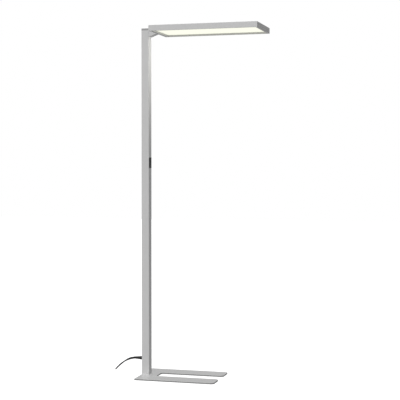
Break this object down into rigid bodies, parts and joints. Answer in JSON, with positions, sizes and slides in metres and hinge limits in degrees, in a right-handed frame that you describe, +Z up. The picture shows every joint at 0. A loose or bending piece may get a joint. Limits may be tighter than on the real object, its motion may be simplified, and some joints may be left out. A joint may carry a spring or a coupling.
{
  "type": "office floor lamp",
  "caption": "Free-standing office floor lamp: square pole on a fork base carries a flat rectangular light head, with push keys on the pole and a mains lead.",
  "frame": {"origin": "on the floor under the pole's axis", "axes": "+X from the pole to the head's free end, +Y to the side away from the viewer of the picture, +Z up"},
  "size_m": [0.9366, 0.6588, 1.95],
  "materials": {
    "silver_grey": "fine-textured matt powder coat on steel",
    "silver_profile": "fine-textured matt powder coat on aluminium",
    "black_plastic": "moulded black, fine texture",
    "black_rubber": "soft matt black",
    "opal": "satin opal acrylic, lit warm white",
    "clear_acrylic": "clear acrylic",
    "white_film": "white reflective film",
    "foam_grey": "closed-cell foam",
    "steel": "zinc-plated",
    "bare_aluminium": "mill finish",
    "circuit_board": "glass-fibre laminate",
    "white_board": "white-coated metal-core board",
    "white_plastic": "moulded white",
    "wire_blue": "insulated wire",
    "brass_plated": "nickel-plated brass"
  },
  "bodies": {
    "lamp": {"base_plate": "silver_grey", "base_pads": "black_rubber", "base_screws": "steel", "pole_tube": "silver_profile", "pole_cap": "silver_profile", "foot_block": "bare_aluminium", "cable_gland": "black_plastic", "gland_locknut": "black_plastic", "strain_relief": "black_rubber", "mains_sheath": "black_rubber", "mains_cores": "wire_blue", "driver_tray": "steel", "tray_screw": "steel", "terminal_block": "white_plastic", "led_driver": "white_plastic", "driver_feeds": "wire_blue", "control_bezel": "black_plastic", "control_board": "circuit_board", "board_screws": "steel", "key_switches": "black_plastic", "control_wires": "wire_blue", "neck": "silver_profile", "neck_screws": "steel", "head_screws": "steel", "rail_near": "silver_profile", "rail_far": "silver_profile", "rail_pole_end": "silver_profile", "rail_free_end": "silver_profile", "top_cover": "silver_profile", "cover_screws": "steel", "diffuser": "opal", "light_guide": "clear_acrylic", "reflector_sheet": "white_film", "led_strips": "white_board", "foam_bars": "foam_grey", "corner_keys": "steel", "head_connector": "white_plastic", "strip_wires": "wire_blue", "head_wires": "wire_blue", "cord_hank": "black_rubber", "mains_cord": "black_rubber", "cord_tail": "black_rubber", "cord_tie": "black_plastic", "plug_body": "black_plastic", "plug_pins": "brass_plated", "plug_earth_strips": "brass_plated"},
    "up_key": {"key_up": "black_plastic"},
    "down_key": {"key_down": "black_plastic"}
  },
  "joints": [
    {"name": "up_press", "type": "slide", "parent": "lamp", "child": "up_key", "axis": [-1, 0, 0], "range_m": [0, 0.0006], "stiffness_N_per_m": 900, "springref_m": -0.0006},
    {"name": "down_press", "type": "slide", "parent": "lamp", "child": "down_key", "axis": [-1, 0, 0], "range_m": [0, 0.0006], "stiffness_N_per_m": 900, "springref_m": -0.0006}
  ]
}
